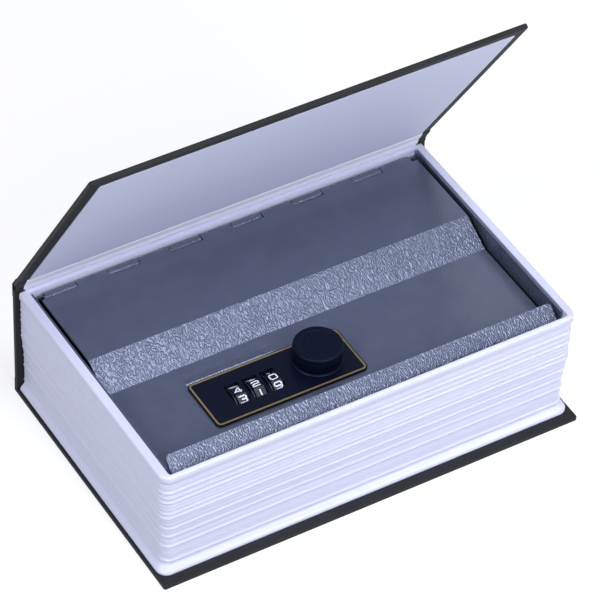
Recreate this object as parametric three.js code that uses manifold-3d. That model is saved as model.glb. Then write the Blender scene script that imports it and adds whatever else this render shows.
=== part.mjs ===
// Book diversion safe: a cloth-bound book case whose page block is a moulded tray. The tray holds a
// steel box with a stepped, piano-hinged lid, and the lid carries a three-dial lock with a turn knob.
// Millimetres, +Z up, +X along the spine, the fore edge towards -Y. The origin is on the table,
// under the middle of the back cover. At rest the front cover leans open over the closed lid.
import * as THREE from 'three';
import { mergeVertices } from 'three/addons/utils/BufferGeometryUtils.js';
import Module from 'manifold-3d';

// The book as a whole
const book_length = 180;
const book_depth = 117;
const book_height = 56.5;
const board_thickness = 2;
const cover_open_deg = 58.5;

// Book case: the wrapped boards, the cloth bead of the fold and the white liner paper
const board_corner = 1;
const board_edge = 0.4;
const spine_lip = 0.6;
const fold_inset = 0.45;
const fold_bead = 0.4;
const fold_reach = 0.75;
const fold_clearance = 0.3;
const liner_thickness = 0.3;
const glue_gap = 0.02;
const liner_side_margin = 4.4;
const liner_free_margin = 4;
const spine_liner_drop = 8;

// Page block: the moulded tray, whose outside waves in and out like the edges of pages
const tray_drop = 3.9;
const square_side = 1.6;
const square_fore = 4.6;
const tray_wall_side = 3.4;
const tray_wall_fore = 1.6;
const tray_wall_fore_low = 2.8;
const tray_wall_rear = 1.5;
const tray_floor = 1.6;
const tray_corner = 4.3;
const tray_bore_corner = 1;
const tray_rear_gap = 0.1;
const rim_roll = 1.2;
const rim_band = 3;
const rim_ease = 1.5;
const foot_flare = 0.5;
const foot_lip = 1.6;
const foot_groove = 2.2;
const page_step = 0.2;
const page_waist = 1.1;
const page_waist_low_share = 0.36;
const page_waist_high_share = 0.57;
const rib_depth = 0.36;
const rib_half_height = 0.9;
const rib_sample = 0.42;
const groove_depth = 0.65;
const rib_height_shares = [
  0.097, 0.251, 0.296, 0.354, 0.403, 0.447, 0.49, 0.532,
  0.567, 0.613, 0.652, 0.686, 0.727, 0.773, 0.83, 0.872,
];
const rib_strength_shares = [1, 1, 0.3, 1, 0.3, 1, 0.4, 0.4, 1, 0.7, 0.3, 0.3, 1, 0.7, 1, 0.3];

// Steel box
const steel = 0.9;
const box_gap = 0.2;
const box_corner = 2.2;
const box_top_drop = 0.6;
const box_flange_depth = 8.6;
const lid_seat_gap = 0.3;

// Hinge of the lid
const pin_radius = 0.75;
const pin_clearance = 0.15;
const hinge_inset = 4.8;
const knuckle_count = 12;
const knuckle_gap = 0.3;
const knuckle_relief = 0.5;
const hinge_setback = 2.6;

// Lid: one bent sheet
const lid_drop = 5;
const lid_step = 6.9;
const lid_side_gap = 1.7;
const lid_fore_gap = 0.9;
const lock_shelf_depth = 51.7;
const slope_run = 13.2;
const lip_upturn = 2.2;
const lip_fold_depth = 7.9;
const lip_edge_rise = 8.5;
const lip_corner = 1.8;

// Lock plate
const plate_length = 64;
const plate_depth = 24.3;
const plate_thickness = 1;
const plate_corner = 2.2;
const plate_edge = 0.2;
const plate_center_x = -22.4;
const plate_setback = 29.3;
const lock_setback = 30.2;

// Dials
const dial_count = 3;
const dial_first_x = -39.1;
const dial_pitch = 7.45;
const dial_setback = 29.1;
const dial_radius = 6.9;
const dial_faces = 10;
const dial_width = 4.3;
const dial_phase_deg = 12.5;
const dial_rise = 1.1;
const dial_disc_lift = 0.3;
const dial_disc_thickness = 0.6;
const dial_disc_gap = 0.7;
const dial_hub_radius = 4.6;
const dial_clearance = 0.3;
const window_corner = 0.8;
const window_length = 10.8;
const axle_radius = 1.3;

// Lock housing
const housing_wall = 1.4;
const housing_floor = 1.4;
const slot_clearance = 0.4;
const bearing_slab = 2;
const bearing_half_depth = 9.5;
const bearing_reach = 10;
const ear_length = 6;
const detent_width = 3;
const detent_thickness = 0.4;
const detent_lift = 0.8;
const detent_finger = 2.6;

// Knob
const knob_x = -5;
const collar_radius = 10;
const collar_height = 1;
const collar_edge = 0.5;
const knob_radius = 9.5;
const knob_top_gap = 0.4;
const knob_edge = 0.9;
const knob_cap_height = 2.6;
const knurl_height = 1.3;
const knurl_depth = 0.3;
const knurl_teeth = 48;
const knob_waist_radius = 8.5;
const knob_dish_radius = 7;
const knob_dish_depth = 0.25;
const turn_gap = 0.3;
const spindle_radius = 2.5;
const fit_gap = 0.1;
const spindle_socket = 3;

// Latch on the spindle
const cam_thickness = 1.5;
const cam_half_width = 4;
const cam_hub_radius = 5.5;
const cam_reach = 27;
const nut_radius = 4;
const nut_height = 1.7;
const nut_sides = 6;
const spindle_tail = 0.6;

// Screws
const box_screw_length_share = 0.73;
const box_screw_depth_share = 0.58;
const box_screw_radius = 1.5;
const box_screw_head_radius = 3;
const box_screw_head_height = 1.5;
const box_screw_bite = 1;
const lock_screw_radius = 1;
const lock_screw_head_radius = 1.8;
const lock_screw_head_height = 1;
const lock_screw_recess = 0.1;
const lock_screw_inset = 3;
const lock_screw_side = 7.2;
const drive_width = 0.6;
const drive_depth = 0.5;
const hole_clearance = 0.15;
const overrun = 1;

// Places worked out from the sizes above
const spine_face = book_depth / 2;
const half_length = book_length / 2;
const spine_inner = spine_face - board_thickness;
const fold_y = spine_face - fold_inset;
const fold_z = book_height - fold_inset;
const cover_under = book_height - board_thickness;
const cover_rear = fold_y - fold_reach;
const spine_board_top = cover_under - 2 * liner_thickness - fold_clearance;
const tray_top = book_height - tray_drop;
const tray_half = half_length - square_side;
const tray_front = -spine_face + square_fore;
const tray_rear = spine_inner - liner_thickness - tray_rear_gap;
const bore_half = tray_half - tray_wall_side;
const bore_front = tray_front + tray_wall_fore;
const bore_rear = tray_rear - tray_wall_rear;
const tray_bed = board_thickness + tray_floor;
const box_half = bore_half - box_gap;
const low_bore_front = tray_front + tray_wall_fore_low;
const box_front = low_bore_front + box_gap;
const box_floor = tray_bed + steel;
const knuckle_bore = pin_radius + pin_clearance;
const knuckle_radius = knuckle_bore + steel;
const axis_y = bore_rear - hinge_setback;
const lid_high = book_height - lid_drop;
const axis_z = lid_high - knuckle_radius;
const box_rear = axis_y + knuckle_radius;
const hinge_length = 2 * (box_half - hinge_inset);
const knuckle_pitch = hinge_length / knuckle_count;
const lid_low = lid_high - lid_step;
const lid_under = lid_low - steel;
const lid_half = box_half - steel - lid_side_gap;
const lid_front = bore_front + lid_fore_gap;
const slope_foot_y = lid_front + lock_shelf_depth;
const slope_top_y = slope_foot_y + slope_run;
const lip_edge_y = lid_front + lip_fold_depth;
const plate_center_y = lid_front + plate_setback;
const lock_axis_y = lid_front + lock_setback;
const plate_top = lid_low + plate_thickness;
const dial_axis_y = lid_front + dial_setback;
const dial_axis_z = plate_top + dial_rise - dial_radius - dial_disc_lift;
const disc_radius = dial_radius + dial_disc_lift;
const drum_half = dial_width / 2;
const disc_reach = drum_half + dial_disc_gap + dial_disc_thickness;
const slot_radius = disc_radius + slot_clearance;
const slot_left = disc_reach + dial_clearance;
const slot_right = drum_half + dial_clearance;
const dial_last_x = dial_first_x + dial_pitch * (dial_count - 1);
const housing_left = dial_first_x - slot_left - housing_wall;
const housing_right = dial_last_x + slot_right + housing_wall;
const housing_bottom = dial_axis_z - slot_radius - housing_floor;
const bearing_bottom = lid_under - bearing_slab;
const knob_top = cover_under - liner_thickness - knob_top_gap;
const knob_bottom = plate_top + collar_height + turn_gap;
const cam_top = bearing_bottom - turn_gap;
const cam_bottom = cam_top - cam_thickness;
const nut_bottom = cam_bottom - nut_height;
const spindle_bottom = nut_bottom - spindle_tail;
const keeper_top = lid_under - lid_seat_gap;
const round_steps = 24;
const fine_steps = 48;
const corner_steps = 6;
const open_angle = THREE.MathUtils.degToRad(cover_open_deg);

const wasm = await Module();
wasm.setup();

// A closed mesh as a solid for boolean work
function to_solid(geometry) {
  const bare = geometry.clone();
  bare.deleteAttribute('normal');
  bare.deleteAttribute('uv');
  const welded = mergeVertices(bare);
  const mesh = new wasm.Mesh({
    numProp: 3,
    vertProperties: new Float32Array(welded.attributes.position.array),
    triVerts: new Uint32Array(welded.index.array),
  });
  return new wasm.Manifold(mesh);
}

// A solid back as a mesh with flat-shaded faces
function to_geometry(solid) {
  const mesh = solid.getMesh();
  const geometry = new THREE.BufferGeometry();
  geometry.setAttribute('position', new THREE.BufferAttribute(mesh.vertProperties, mesh.numProp));
  geometry.setIndex(new THREE.BufferAttribute(mesh.triVerts, 1));
  geometry.computeVertexNormals();
  return geometry;
}

function cut(base, tools) {
  return to_geometry(tools.reduce((solid, tool) => solid.subtract(to_solid(tool)), to_solid(base)));
}

function join(parts) {
  const [first, ...rest] = parts;
  return to_geometry(rest.reduce((solid, part) => solid.add(to_solid(part)), to_solid(first)));
}

// A box between two places on each axis
function block(x0, x1, y0, y1, z0, z1) {
  const geometry = new THREE.BoxGeometry(x1 - x0, y1 - y0, z1 - z0);
  return geometry.translate((x0 + x1) / 2, (y0 + y1) / 2, (z0 + z1) / 2);
}

// A round bar along Z or X
function post(x, y, z0, z1, radius, sides = round_steps) {
  const geometry = new THREE.CylinderGeometry(radius, radius, z1 - z0, sides);
  return geometry.rotateX(Math.PI / 2).translate(x, y, (z0 + z1) / 2);
}

function bar(x0, x1, y, z, radius, sides = round_steps) {
  const geometry = new THREE.CylinderGeometry(radius, radius, x1 - x0, sides);
  return geometry.rotateZ(-Math.PI / 2).translate((x0 + x1) / 2, y, z);
}

// A rectangle in plan with its own corner radius at the front and at the rear
function plan(x0, x1, y0, y1, front_radius, rear_radius) {
  const shape = new THREE.Shape();
  shape.moveTo(x0 + front_radius, y0);
  shape.lineTo(x1 - front_radius, y0);
  if (front_radius) shape.absarc(x1 - front_radius, y0 + front_radius, front_radius, -Math.PI / 2, 0);
  shape.lineTo(x1, y1 - rear_radius);
  if (rear_radius) shape.absarc(x1 - rear_radius, y1 - rear_radius, rear_radius, 0, Math.PI / 2);
  shape.lineTo(x0 + rear_radius, y1);
  if (rear_radius) shape.absarc(x0 + rear_radius, y1 - rear_radius, rear_radius, Math.PI / 2, Math.PI);
  shape.lineTo(x0, y0 + front_radius);
  if (front_radius) shape.absarc(x0 + front_radius, y0 + front_radius, front_radius, Math.PI, 1.5 * Math.PI);
  return shape;
}

// A plan shape raised between two heights, with its edges eased by a bevel
function raise(shape, z0, z1, edge = 0) {
  const geometry = new THREE.ExtrudeGeometry(shape, {
    depth: z1 - z0 - 2 * edge,
    bevelEnabled: edge > 0,
    bevelThickness: edge,
    bevelSize: edge,
    bevelOffset: -edge,
    bevelSegments: 2,
    curveSegments: corner_steps,
  });
  return geometry.translate(0, 0, z0 + edge);
}

// A profile drawn in Y and Z, drawn out along X
function run_along(shape, x0, x1, steps = round_steps) {
  const geometry = new THREE.ExtrudeGeometry(shape, {
    depth: x1 - x0,
    bevelEnabled: false,
    curveSegments: steps,
  });
  const turn = new THREE.Matrix4().makeBasis(
    new THREE.Vector3(0, 1, 0),
    new THREE.Vector3(0, 0, 1),
    new THREE.Vector3(1, 0, 0),
  );
  return geometry.applyMatrix4(turn).translate(x0, 0, 0);
}

// A turned piece about Z from its profile of radius and height
function turned(profile, x, y, steps = fine_steps) {
  const points = profile.map(([radius, height]) => new THREE.Vector2(radius, height));
  return new THREE.LatheGeometry(points, steps).rotateX(Math.PI / 2).translate(x, y, 0);
}

// A screw whose head bears on the height z, its shank running from there along sign
function screw(x, y, z, sign, head_radius, head_height, shank_radius, shank_length) {
  const crown = z - sign * head_height;
  const root = (z + crown) / 2;
  const tip = z + sign * shank_length;
  const head = post(x, y, Math.min(z, crown), Math.max(z, crown), head_radius);
  const shank = post(x, y, Math.min(root, tip), Math.max(root, tip), shank_radius);
  const slots = [0, Math.PI / 2].map((angle) => {
    const slot = block(
      -head_radius / 2, head_radius / 2,
      -drive_width / 2, drive_width / 2,
      -drive_depth, drive_depth,
    );
    return slot.rotateZ(angle).translate(x, y, crown);
  });
  return cut(join([head, shank]), slots);
}

// Back cover: the board under everything, drilled blind for the screws of the box
function back_cover() {
  const board = raise(
    plan(-half_length, half_length, -spine_face, spine_face, board_corner, board_corner),
    0, board_thickness, board_edge,
  );
  const holes = box_screw_places().map(([x, y]) => post(
    x, y, board_thickness - box_screw_bite - hole_clearance, board_thickness + overrun,
    box_screw_radius + hole_clearance,
  ));
  return cut(board, holes);
}

// Spine: a board that stands on the back cover, with the thin wrapped lip that carries the fold
function spine_board() {
  const lip_top = fold_z - fold_bead - fit_gap;
  const outline = new THREE.Shape();
  outline.moveTo(spine_inner, board_thickness);
  outline.lineTo(spine_face - board_edge, board_thickness);
  outline.lineTo(spine_face, board_thickness + board_edge);
  outline.lineTo(spine_face, lip_top);
  outline.lineTo(spine_face - spine_lip, lip_top);
  outline.lineTo(spine_face - spine_lip, spine_board_top);
  outline.lineTo(spine_inner, spine_board_top);
  return run_along(outline, -half_length, half_length);
}

// The liner paper of the spine: up from behind the page block, over the board and up the lip
function spine_liner() {
  const half = half_length - liner_side_margin;
  const lip_inner = spine_face - spine_lip;
  const lip_top = fold_z - fold_bead - fit_gap;
  const outline = new THREE.Shape();
  outline.moveTo(spine_inner - liner_thickness, tray_top - spine_liner_drop);
  outline.lineTo(spine_inner, tray_top - spine_liner_drop);
  outline.lineTo(spine_inner, spine_board_top);
  outline.lineTo(lip_inner, spine_board_top);
  outline.lineTo(lip_inner, lip_top);
  outline.lineTo(lip_inner - liner_thickness, lip_top);
  outline.lineTo(lip_inner - liner_thickness, spine_board_top + liner_thickness);
  outline.lineTo(spine_inner - liner_thickness, spine_board_top + liner_thickness);
  return run_along(outline, -half, half);
}

// The rolled cloth of the fold, between the spine's lip and the front cover
function fold_cloth() {
  return bar(-half_length, half_length, fold_y, fold_z, fold_bead);
}

// Swings a piece that is drawn as the closed cover to its place at rest
function leaned(geometry) {
  return geometry.translate(0, -fold_y, -fold_z).rotateX(-open_angle).translate(0, fold_y, fold_z);
}

// Front cover: the free board of the case, and the liner glued to its inside
function front_cover() {
  const outline = plan(-half_length, half_length, -spine_face, cover_rear, board_corner, 0);
  return leaned(raise(outline, cover_under, book_height, board_edge));
}

function front_liner() {
  const half = half_length - liner_side_margin;
  const front = -spine_face + liner_free_margin;
  const outline = plan(-half, half, front, cover_rear - board_edge, board_corner, 0);
  return leaned(raise(outline, cover_under - liner_thickness, cover_under - glue_gap));
}

// How far the wall of the tray stands in from its rim at a height: the waist, less the waves on it
function page_inset(z) {
  const page_height = tray_top - board_thickness;
  const share = (z - board_thickness) / page_height;
  const lean = (page_waist_high_share - share) / (page_waist_high_share - page_waist_low_share);
  const waist = page_step + (page_waist - page_step) * Math.min(1, Math.max(0, lean));
  const waves = rib_height_shares.map((height, i) => {
    const away = Math.min(1, (Math.abs(share - height) * page_height) / rib_half_height);
    return (rib_strength_shares[i] * (1 + Math.cos(Math.PI * away))) / 2;
  });
  return waist + rib_depth * (1 - Math.max(...waves));
}

// The levels of the tray as height and inset: foot lip, groove, waves, rim band and rolled rim
function tray_levels() {
  const foot_top = board_thickness + foot_lip;
  const wave_start = foot_top + foot_groove;
  const wave_end = tray_top - rim_band - rim_ease;
  const count = Math.round((wave_end - wave_start) / rib_sample);
  const waves = Array.from({ length: count }, (_, i) => {
    const z = wave_start + ((wave_end - wave_start) * i) / count;
    return [z, page_inset(z)];
  });
  const roll = Array.from({ length: corner_steps }, (_, i) => {
    const angle = ((i + 1) / corner_steps) * (Math.PI / 2);
    return [tray_top - rim_roll * (1 - Math.sin(angle)), rim_roll * (1 - Math.cos(angle))];
  });
  return [
    [board_thickness, -foot_flare],
    [foot_top - foot_lip / 2, -foot_flare],
    [foot_top, 0],
    [foot_top + foot_groove / 2, page_waist],
    ...waves,
    [wave_end, groove_depth],
    [wave_end + rim_ease / 2, groove_depth / 2],
    [wave_end + rim_ease, 0],
    [tray_top - rim_roll, 0],
    ...roll,
  ];
}

// A closed skin over a stack of like sections, the corners at the fore edge rounded
function stacked(levels) {
  const rings = levels.map(([z, inset]) => {
    const radius = tray_corner;
    const half = tray_half - inset;
    const front = tray_front + inset;
    const ring = [];
    const corner = (x, from) => {
      for (let i = 0; i <= corner_steps; i += 1) {
        const angle = from + (i / corner_steps) * (Math.PI / 2);
        ring.push([x + radius * Math.cos(angle), front + radius + radius * Math.sin(angle), z]);
      }
    };
    corner(-half + radius, Math.PI);
    corner(half - radius, 1.5 * Math.PI);
    ring.push([half, tray_rear, z], [-half, tray_rear, z]);
    return ring;
  });
  const count = rings[0].length;
  const index = [];
  rings.slice(1).forEach((_, level) => {
    for (let i = 0; i < count; i += 1) {
      const next = (i + 1) % count;
      const [a, b] = [level * count + i, level * count + next];
      index.push(a, b, b + count, a, b + count, a + count);
    }
  });
  const last = (rings.length - 1) * count;
  for (let i = 1; i < count - 1; i += 1) {
    index.push(0, i + 1, i, last, last + i, last + i + 1);
  }
  const geometry = new THREE.BufferGeometry();
  geometry.setAttribute('position', new THREE.Float32BufferAttribute(rings.flat(2), 3));
  geometry.setIndex(index);
  return geometry;
}

// Page block: the ribbed tray, hollow for the steel box, its front wall thinner above the box
function page_block() {
  const bore = raise(
    plan(-bore_half, bore_half, low_bore_front, bore_rear, tray_bore_corner, 0),
    tray_bed, tray_top + overrun,
  );
  const lid_recess = raise(
    plan(-bore_half, bore_half, bore_front, bore_rear, tray_bore_corner, 0),
    keeper_top, tray_top + overrun,
  );
  const holes = box_screw_places().map(([x, y]) => post(
    x, y, board_thickness - overrun, tray_bed + overrun, box_screw_radius + hole_clearance,
  ));
  return cut(stacked(tray_levels()), [bore, lid_recess, ...holes]);
}

function box_screw_places() {
  const x = box_half * box_screw_length_share;
  const y = spine_face * box_screw_depth_share;
  return [[-x, -y], [-x, y], [x, -y], [x, y]];
}

function box_screw([x, y]) {
  const reach = box_floor - board_thickness + box_screw_bite;
  return screw(
    x, y, box_floor, -1, box_screw_head_radius, box_screw_head_height, box_screw_radius, reach,
  );
}

// The rolled knuckles: even places belong to the box, odd places to the lid
function knuckle_middle(place) {
  return (place + 0.5) * knuckle_pitch - hinge_length / 2;
}

function knuckle_places(parity) {
  return Array.from({ length: knuckle_count }, (_, place) => place)
    .filter((place) => place % 2 === parity)
    .map(knuckle_middle);
}

function knuckle(x) {
  const roll = new THREE.Shape();
  roll.absarc(axis_y, axis_z, knuckle_radius, 0, 2 * Math.PI);
  const bore = new THREE.Path();
  bore.absarc(axis_y, axis_z, knuckle_bore, 0, 2 * Math.PI, true);
  roll.holes.push(bore);
  const half = (knuckle_pitch - knuckle_gap) / 2;
  return run_along(roll, x - half, x + half, round_steps / 2);
}

// A notch that clears the other leaf's knuckle out of a sheet
function notch(x, y0, y1, z0, z1) {
  const half = (knuckle_pitch + knuckle_gap) / 2;
  return block(x - half, x + half, y0, y1, z0, z1);
}

// Steel box: folded walls, a low front wall with an inward flange that the latch hooks under
function steel_box() {
  const outer = raise(
    plan(-box_half, box_half, box_front, box_rear, box_corner, 0), tray_bed, tray_top - box_top_drop,
  );
  const inner_corner = box_corner - steel;
  const inner = raise(
    plan(-box_half + steel, box_half - steel, box_front + steel, box_rear - steel, inner_corner, 0),
    box_floor, tray_top + overrun,
  );
  const over_front = block(
    -box_half - overrun, box_half + overrun, box_front - overrun, box_front + box_corner,
    keeper_top, tray_top + overrun,
  );
  const over_rear = block(
    -box_half + steel, box_half - steel, box_rear - steel - overrun, box_rear + overrun,
    axis_z, tray_top + overrun,
  );
  const over_lid_knuckles = knuckle_places(1).map((x) => notch(
    x, box_rear - steel - overrun, box_rear + overrun,
    axis_z - knuckle_radius - knuckle_relief, axis_z + overrun,
  ));
  const holes = box_screw_places().map(([x, y]) => post(
    x, y, tray_bed - overrun, box_floor + overrun, box_screw_radius + hole_clearance,
  ));
  const shell = cut(outer, [inner, over_front, over_rear, ...over_lid_knuckles, ...holes]);
  const flange = block(
    -box_half + box_corner, box_half - box_corner,
    box_front + steel / 2, box_front + box_flange_depth, keeper_top - steel, keeper_top,
  );
  return join([shell, flange, ...knuckle_places(0).map(knuckle)]);
}

function hinge_pin() {
  const half = hinge_length / 2;
  return bar(-half, half, axis_y, axis_z, pin_radius);
}

// The outline of a bent sheet about its middle line, mitred at the bends
function sheet_outline(points, thickness) {
  const line = points.map(([y, z]) => new THREE.Vector2(y, z));
  const normal = (from, to) => {
    const step = to.clone().sub(from).normalize();
    return new THREE.Vector2(-step.y, step.x);
  };
  const offset = (side) => line.map((point, i) => {
    const before = i > 0 ? normal(line[i - 1], point) : normal(point, line[i + 1]);
    const after = i < line.length - 1 ? normal(point, line[i + 1]) : before;
    const reach = (side * thickness) / 2 / (1 + before.dot(after));
    return point.clone().add(before.clone().add(after).multiplyScalar(reach));
  });
  return new THREE.Shape([...offset(1), ...offset(-1).reverse()]);
}

// What is rounded off one free corner of the lid's lip, laid in the plane of the lip
function lip_corner_waste(side) {
  const outline = new THREE.Shape();
  outline.moveTo(-lip_corner, 0);
  outline.absarc(-lip_corner, -lip_corner, lip_corner, Math.PI / 2, 0, true);
  outline.lineTo(overrun, -lip_corner);
  outline.lineTo(overrun, overrun);
  outline.lineTo(-lip_corner, overrun);
  const slant = Math.atan2(lip_edge_rise - lip_upturn, lip_edge_y - lid_front - steel / 2);
  return raise(outline, -steel, steel)
    .rotateY(side < 0 ? Math.PI : 0)
    .rotateX(slant)
    .translate(side * lid_half, lip_edge_y, lid_low + lip_edge_rise);
}

function lock_screw_places() {
  return [
    [housing_left - lock_screw_inset, lock_axis_y],
    [knob_x + lock_screw_side, lock_axis_y + lock_screw_side],
  ];
}

// Lid: high rear shelf, slope, low front shelf for the lock, and the folded-back lip
function lid_panel() {
  const middle = steel / 2;
  const sheet = run_along(sheet_outline([
    [axis_y, lid_high - middle],
    [slope_top_y, lid_high - middle],
    [slope_foot_y, lid_low - middle],
    [lid_front + middle, lid_low - middle],
    [lid_front + middle, lid_low + lip_upturn],
    [lip_edge_y, lid_low + lip_edge_rise],
  ], steel), -lid_half, lid_half);
  const notch_front = axis_y - knuckle_radius - knuckle_relief;
  const rear = axis_y + knuckle_radius + overrun;
  const notches = knuckle_places(0).map((x) => notch(
    x, notch_front, rear, lid_high - steel - overrun, lid_high + overrun,
  ));
  const reliefs = [-1, 1].map((side) => {
    const edge = side * (hinge_length - knuckle_gap) / 2;
    const out = side * (lid_half + overrun);
    return block(
      Math.min(edge, out), Math.max(edge, out),
      notch_front, rear, lid_high - steel - overrun, lid_high + overrun,
    );
  });
  const dial_window = block(
    dial_first_x - slot_left, dial_last_x + slot_right,
    dial_axis_y - disc_radius + dial_rise, dial_axis_y + disc_radius - dial_rise,
    lid_under - overrun, lid_low + overrun,
  );
  const spindle_hole = post(
    knob_x, lock_axis_y, lid_under - overrun, lid_low + overrun, spindle_radius + turn_gap,
  );
  const screw_holes = lock_screw_places().map(([x, y]) => post(
    x, y, lid_under - overrun, lid_low + overrun, lock_screw_radius + hole_clearance,
  ));
  const corners = [-1, 1].map(lip_corner_waste);
  const panel = cut(sheet, [...notches, ...reliefs, dial_window, spindle_hole, ...screw_holes, ...corners]);
  return join([panel, ...knuckle_places(1).map(knuckle)]);
}

// Lock plate: the flat cover plate with a window over each dial
function lock_plate() {
  const left = plate_center_x - plate_length / 2;
  const front = plate_center_y - plate_depth / 2;
  const plate = raise(
    plan(left, left + plate_length, front, front + plate_depth, plate_corner, plate_corner),
    lid_low, plate_top, plate_edge,
  );
  const windows = dial_middles().map((x) => raise(
    plan(
      x - slot_left, x + slot_right,
      dial_axis_y - window_length / 2, dial_axis_y + window_length / 2, window_corner, window_corner,
    ),
    lid_low - overrun, plate_top + overrun,
  ));
  const hole = post(
    knob_x, lock_axis_y, lid_low - overrun, plate_top + overrun, spindle_radius + turn_gap,
  );
  return cut(plate, [...windows, hole]);
}

function dial_middles() {
  return Array.from({ length: dial_count }, (_, i) => dial_first_x + i * dial_pitch);
}

// A dial: a ten-sided drum for the digits with a thin finger disc at its left end
function dial(x) {
  const drum = bar(x - drum_half, x + drum_half, 0, 0, dial_radius, dial_faces)
    .rotateX(THREE.MathUtils.degToRad(dial_phase_deg));
  const disc = bar(x - disc_reach, x - disc_reach + dial_disc_thickness, 0, 0, disc_radius, 2 * round_steps);
  const hub = bar(x - disc_reach + dial_disc_thickness / 2, x, 0, 0, dial_hub_radius);
  const bore = bar(x - disc_reach - overrun, x + drum_half + overrun, 0, 0, axle_radius + dial_clearance);
  return cut(join([drum, disc, hub]), [bore]).translate(0, dial_axis_y, dial_axis_z);
}

function dial_axle() {
  const inset = housing_wall / 2;
  return bar(housing_left + inset, housing_right - inset, dial_axis_y, dial_axis_z, axle_radius);
}

// Lock housing: a moulded body under the lid with a slot for each dial and a bearing for the spindle
function lock_housing() {
  const half_depth = slot_radius + housing_wall;
  const body = block(
    housing_left, housing_right,
    dial_axis_y - half_depth, dial_axis_y + half_depth, housing_bottom, lid_under,
  );
  const bearing = raise(
    plan(
      housing_right - housing_wall, knob_x + bearing_reach,
      lock_axis_y - bearing_half_depth, lock_axis_y + bearing_half_depth, 0, 0,
    ),
    bearing_bottom, lid_under,
  );
  const ear = block(
    housing_left - ear_length, housing_left + housing_wall,
    lock_axis_y - bearing_half_depth, lock_axis_y + bearing_half_depth, bearing_bottom, lid_under,
  );
  const slots = dial_middles().flatMap((x) => [
    bar(x - slot_left, x + slot_right, dial_axis_y, dial_axis_z, slot_radius, fine_steps),
    block(
      x - slot_left, x + slot_right, dial_axis_y - slot_radius, dial_axis_y + slot_radius,
      dial_axis_z, lid_under + overrun,
    ),
  ]);
  const axle_way = bar(
    housing_left + housing_wall / 2 - fit_gap, housing_right - housing_wall / 2 + fit_gap,
    dial_axis_y, dial_axis_z, axle_radius + fit_gap,
  );
  const detent_way = block(
    housing_left + housing_wall / 2, housing_right - housing_wall / 2,
    dial_axis_y - detent_width / 2 - fit_gap, dial_axis_y + detent_width / 2 + fit_gap,
    housing_bottom + housing_floor - detent_thickness, dial_axis_z - slot_radius + detent_thickness,
  );
  const spindle_way = post(
    knob_x, lock_axis_y, bearing_bottom - overrun, lid_under + overrun, spindle_radius + turn_gap,
  );
  const screw_ways = lock_screw_places().map(([x, y]) => post(
    x, y, bearing_bottom - overrun, lid_under + overrun, lock_screw_radius + hole_clearance,
  ));
  return cut(join([body, bearing, ear]), [...slots, axle_way, detent_way, spindle_way, ...screw_ways]);
}

// The leaf spring under the dials, with a finger that clicks on the faces of each
function detent_spring() {
  const base = housing_bottom + housing_floor - detent_thickness;
  const leaf = block(
    housing_left + housing_wall / 2 + fit_gap, housing_right - housing_wall / 2 - fit_gap,
    dial_axis_y - detent_width / 2, dial_axis_y + detent_width / 2, base, base + detent_thickness,
  );
  const fingers = dial_middles().map((x) => block(
    x - detent_finger / 2, x + detent_finger / 2,
    dial_axis_y - detent_thickness, dial_axis_y + detent_thickness, base, base + detent_lift,
  ));
  return join([leaf, ...fingers]);
}

function lock_screw([x, y]) {
  return screw(
    x, y, bearing_bottom, 1, lock_screw_head_radius, lock_screw_head_height,
    lock_screw_radius, lid_low - lock_screw_recess - bearing_bottom,
  );
}

// The collar round the knob, fixed to the plate
function knob_collar() {
  const top = plate_top + collar_height;
  const bore = spindle_radius + turn_gap;
  return turned([
    [bore, plate_top],
    [collar_radius, plate_top],
    [collar_radius, top - collar_edge],
    [collar_radius - collar_edge, top],
    [bore, top],
    [bore, plate_top],
  ], knob_x, lock_axis_y);
}

// Knob: a waisted cap with a fine knurled band under its brim
function knob() {
  const cap_bottom = knob_top - knob_cap_height;
  const knurl_bottom = cap_bottom - knurl_height;
  const brim = Array.from({ length: corner_steps + 1 }, (_, i) => {
    const angle = (i / corner_steps) * (Math.PI / 2);
    return [
      knob_radius - knob_edge + knob_edge * Math.cos(angle),
      knob_top - knob_edge + knob_edge * Math.sin(angle),
    ];
  });
  const body = turned([
    [0, knob_bottom],
    [knob_waist_radius, knob_bottom],
    [knob_waist_radius, knurl_bottom],
    [knob_radius - knurl_depth, knurl_bottom],
    [knob_radius - knurl_depth, cap_bottom],
    [knob_radius, cap_bottom],
    ...brim,
    [knob_dish_radius, knob_top],
    [knob_dish_radius - knob_dish_depth, knob_top - knob_dish_depth],
    [0, knob_top - knob_dish_depth],
  ], 0, 0);
  const teeth = new THREE.Shape(Array.from({ length: 2 * knurl_teeth }, (_, i) => {
    const radius = i % 2 ? knob_radius - knurl_depth / 2 : knob_radius + knurl_depth / 2;
    const angle = (i / knurl_teeth) * Math.PI;
    return new THREE.Vector2(radius * Math.cos(angle), radius * Math.sin(angle));
  }));
  const knurl = raise(teeth, knurl_bottom, cap_bottom);
  const socket = post(
    0, 0, knob_bottom - overrun, knob_bottom + spindle_socket + fit_gap, spindle_radius + fit_gap,
  );
  return cut(join([body, knurl]), [socket]).translate(knob_x, lock_axis_y, 0);
}

function spindle() {
  return post(knob_x, lock_axis_y, spindle_bottom, knob_bottom + spindle_socket, spindle_radius);
}

// Latch: a flat tongue on the spindle, drawn unlocked, along the spine
function latch_cam() {
  const hub = post(knob_x, lock_axis_y, cam_bottom, cam_top, cam_hub_radius);
  const tongue = raise(
    plan(
      knob_x, knob_x + cam_reach, lock_axis_y - cam_half_width, lock_axis_y + cam_half_width,
      cam_half_width / 2, cam_half_width / 2,
    ),
    cam_bottom, cam_top,
  );
  const hole = post(
    knob_x, lock_axis_y, cam_bottom - overrun, cam_top + overrun, spindle_radius + fit_gap,
  );
  return cut(join([hub, tongue]), [hole]);
}

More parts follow.
